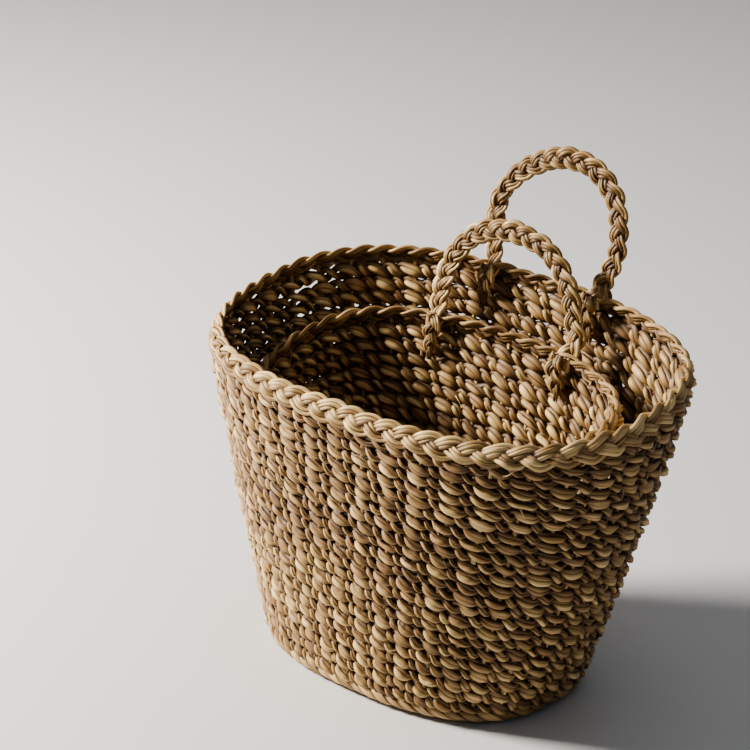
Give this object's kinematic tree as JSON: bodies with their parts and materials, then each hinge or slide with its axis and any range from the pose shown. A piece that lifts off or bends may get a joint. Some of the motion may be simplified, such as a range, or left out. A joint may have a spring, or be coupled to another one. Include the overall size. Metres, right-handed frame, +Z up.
{
  "type": "seagrass storage basket",
  "caption": "Nesting pair of oval, flared seagrass storage baskets with twined walls, braided rims and a plaited loop handle on the long back wall of each.",
  "frame": {"origin": "middle of the whole object's footprint, on the ground", "axes": "+X along the long side of the oval, +Y towards the back wall that carries the handles, +Z up"},
  "size_m": [0.352, 0.2278, 0.32],
  "materials": {
    "seagrass_wall_weave": "dry twined seagrass, satin",
    "seagrass_floor_weave": "dry twined seagrass, matt",
    "seagrass_braid": "dry plaited seagrass, satin"
  },
  "bodies": {
    "large_basket": {"large_floor": "seagrass_floor_weave", "large_foot_coil": "seagrass_wall_weave", "large_wall": "seagrass_wall_weave", "large_rim_braid": "seagrass_braid", "large_left_inner_tail": "seagrass_braid", "large_left_outer_tail": "seagrass_braid", "large_right_inner_tail": "seagrass_braid", "large_right_outer_tail": "seagrass_braid"},
    "large_handle": {"large_handle_loop": "seagrass_braid"},
    "small_basket": {"small_floor": "seagrass_floor_weave", "small_foot_coil": "seagrass_wall_weave", "small_wall": "seagrass_wall_weave", "small_rim_braid": "seagrass_braid", "small_left_inner_tail": "seagrass_braid", "small_left_outer_tail": "seagrass_braid", "small_right_inner_tail": "seagrass_braid", "small_right_outer_tail": "seagrass_braid"},
    "small_handle": {"small_handle_loop": "seagrass_braid"}
  },
  "joints": [
    {"name": "small_basket_lift", "type": "slide", "parent": "large_basket", "child": "small_basket", "axis": [0, 0, 1], "range_m": [0, 0.25]},
    {"name": "large_handle_tilt", "type": "hinge", "parent": "large_basket", "child": "large_handle", "pos_m": [0.0005, 0.09234, 0.24285], "axis": [1, 0, 0], "range_deg": [-60, 18], "stiffness_Nm_per_rad": 0.05},
    {"name": "small_handle_tilt", "type": "hinge", "parent": "small_basket", "child": "small_handle", "pos_m": [-0.012, 0.06232, 0.21084], "axis": [1, 0, 0], "range_deg": [-5, 65], "stiffness_Nm_per_rad": 0.05}
  ]
}
